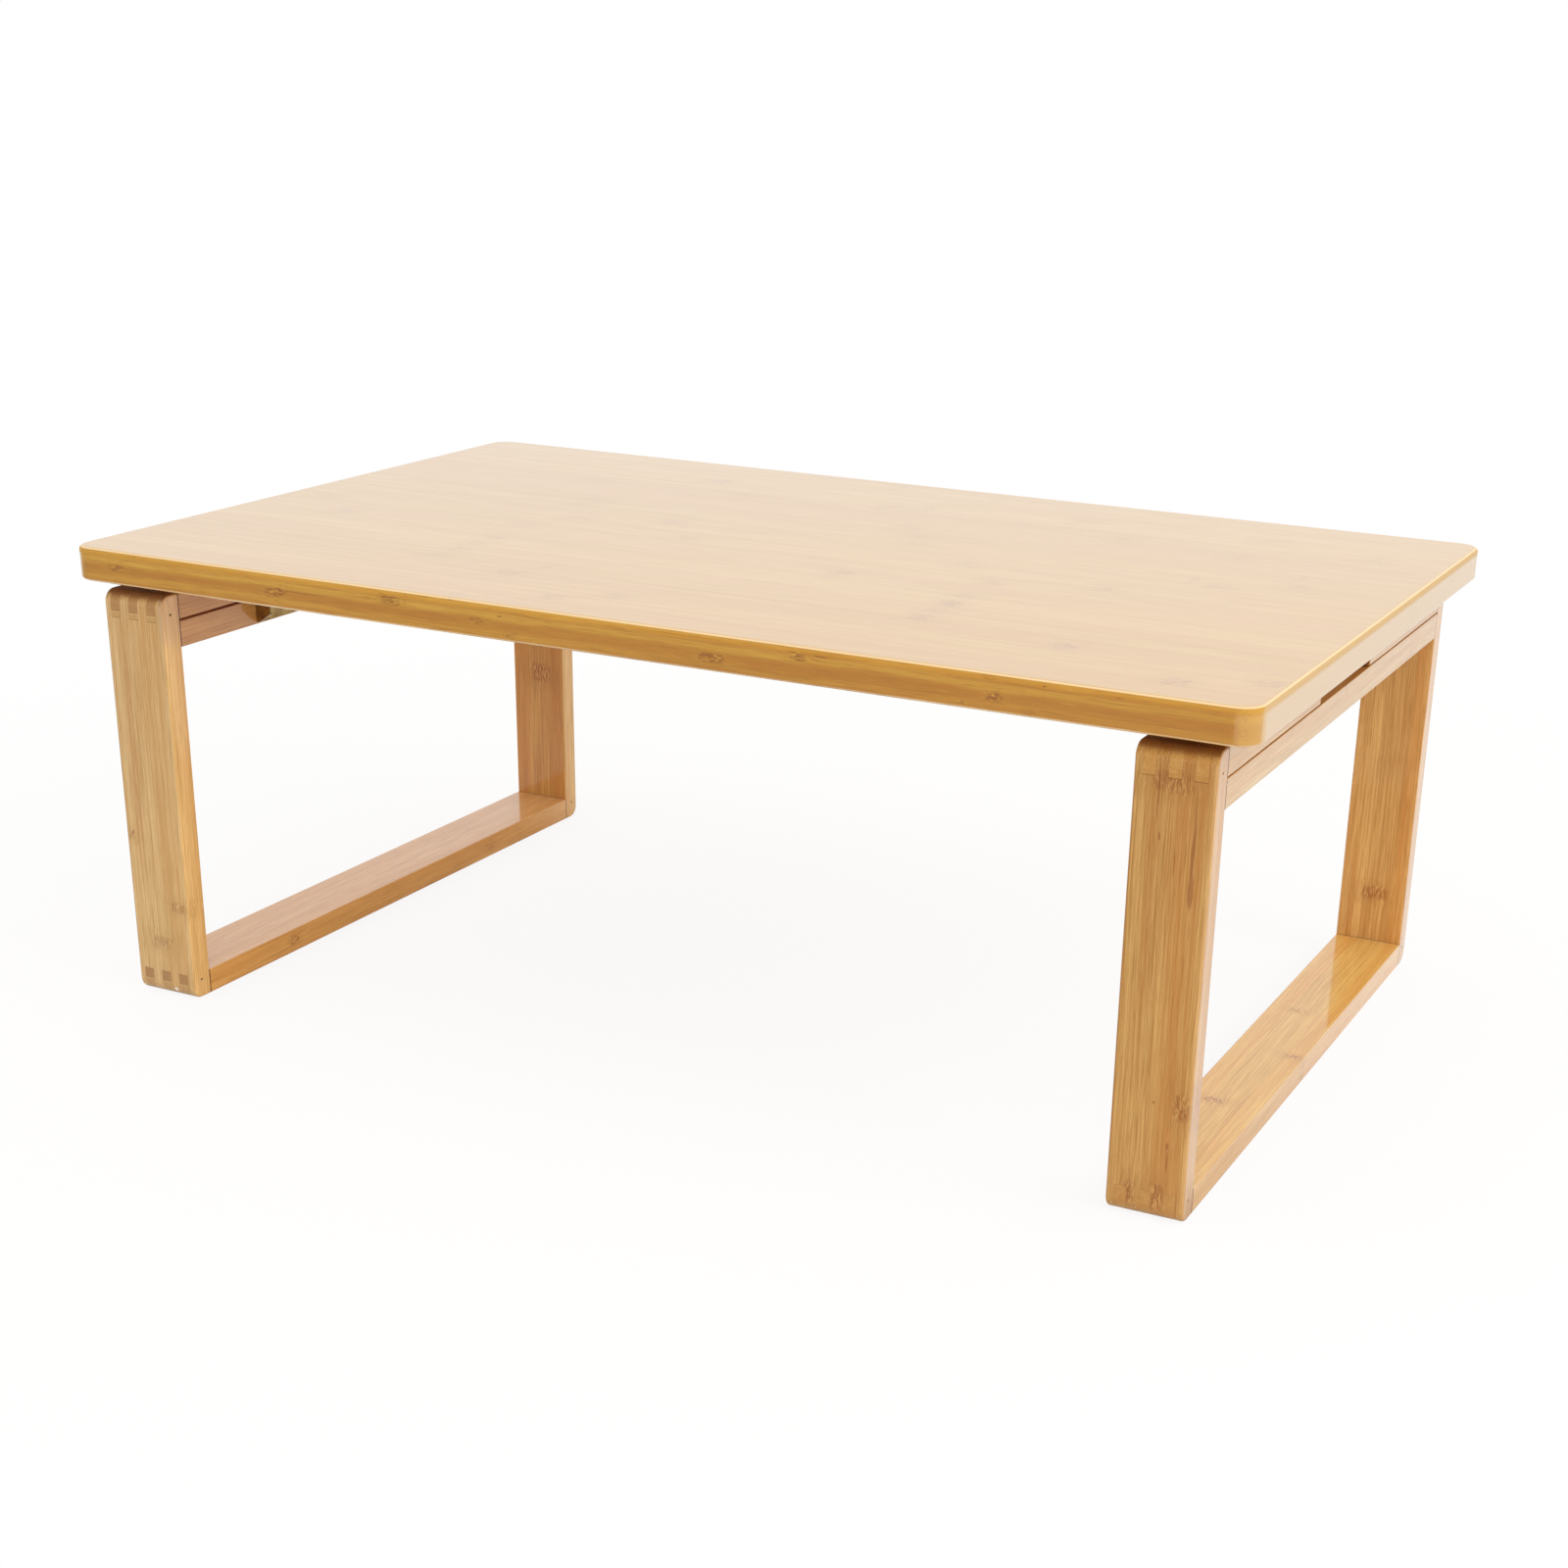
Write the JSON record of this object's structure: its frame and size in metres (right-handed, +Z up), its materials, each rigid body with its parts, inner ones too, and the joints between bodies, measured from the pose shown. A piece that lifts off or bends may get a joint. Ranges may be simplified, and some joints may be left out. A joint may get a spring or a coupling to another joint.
{
  "type": "folding coffee table",
  "caption": "Low rectangular bamboo table whose board-hoop legs fold inward under the top on sprung steel brackets.",
  "frame": {"origin": "on the floor, in the middle of the table's outline, with the legs open", "axes": "+X along the long side, +Y to the rear long side, +Z up"},
  "size_m": [0.8, 0.5, 0.306],
  "materials": {
    "bamboo_top": "clear gloss lacquer over amber laminated bamboo",
    "bamboo_upright": "clear lacquer over amber laminated bamboo",
    "bamboo_rail": "clear lacquer over amber laminated bamboo",
    "dowel_wood": "bare wood",
    "nail_steel": "dull steel",
    "screw_steel": "zinc plated",
    "spring_steel": "tempered spring steel",
    "pin_steel": "turned steel",
    "plated_steel": "zinc plated pressed steel"
  },
  "bodies": {
    "top": {"tabletop": "bamboo_top", "left_front_bracket_base": "plated_steel", "left_front_pivot_pin": "pin_steel", "left_front_detent_spring": "spring_steel", "left_rear_bracket_base": "plated_steel", "left_rear_pivot_pin": "pin_steel", "left_rear_detent_spring": "spring_steel", "left_base_screws": "screw_steel", "left_spring_rivets": "pin_steel", "right_front_bracket_base": "plated_steel", "right_front_pivot_pin": "pin_steel", "right_front_detent_spring": "spring_steel", "right_rear_bracket_base": "plated_steel", "right_rear_pivot_pin": "pin_steel", "right_rear_detent_spring": "spring_steel", "right_base_screws": "screw_steel", "right_spring_rivets": "pin_steel"},
    "left_leg": {"left_front_upright": "bamboo_upright", "left_rear_upright": "bamboo_upright", "left_bottom_rail": "bamboo_rail", "left_top_rail": "bamboo_rail", "left_sub_rail": "bamboo_rail", "left_joint_nails": "nail_steel", "left_rail_dowels": "dowel_wood", "left_front_bracket_leaf": "plated_steel", "left_front_cam_block": "plated_steel", "left_rear_bracket_leaf": "plated_steel", "left_rear_cam_block": "plated_steel", "left_leaf_screws": "screw_steel"},
    "right_leg": {"right_front_upright": "bamboo_upright", "right_rear_upright": "bamboo_upright", "right_bottom_rail": "bamboo_rail", "right_top_rail": "bamboo_rail", "right_sub_rail": "bamboo_rail", "right_joint_nails": "nail_steel", "right_rail_dowels": "dowel_wood", "right_front_bracket_leaf": "plated_steel", "right_front_cam_block": "plated_steel", "right_rear_bracket_leaf": "plated_steel", "right_rear_cam_block": "plated_steel", "right_leaf_screws": "screw_steel"}
  },
  "joints": [
    {"name": "left_leg_fold", "type": "hinge", "parent": "top", "child": "left_leg", "pos_m": [-0.325, 0, 0.276], "axis": [0, -1, 0], "range_deg": [0, 90], "deforming": ["left_front_detent_spring", "left_rear_detent_spring"]},
    {"name": "right_leg_fold", "type": "hinge", "parent": "top", "child": "right_leg", "pos_m": [0.325, 0, 0.276], "axis": [0, 1, 0], "range_deg": [0, 90], "deforming": ["right_front_detent_spring", "right_rear_detent_spring"]}
  ]
}
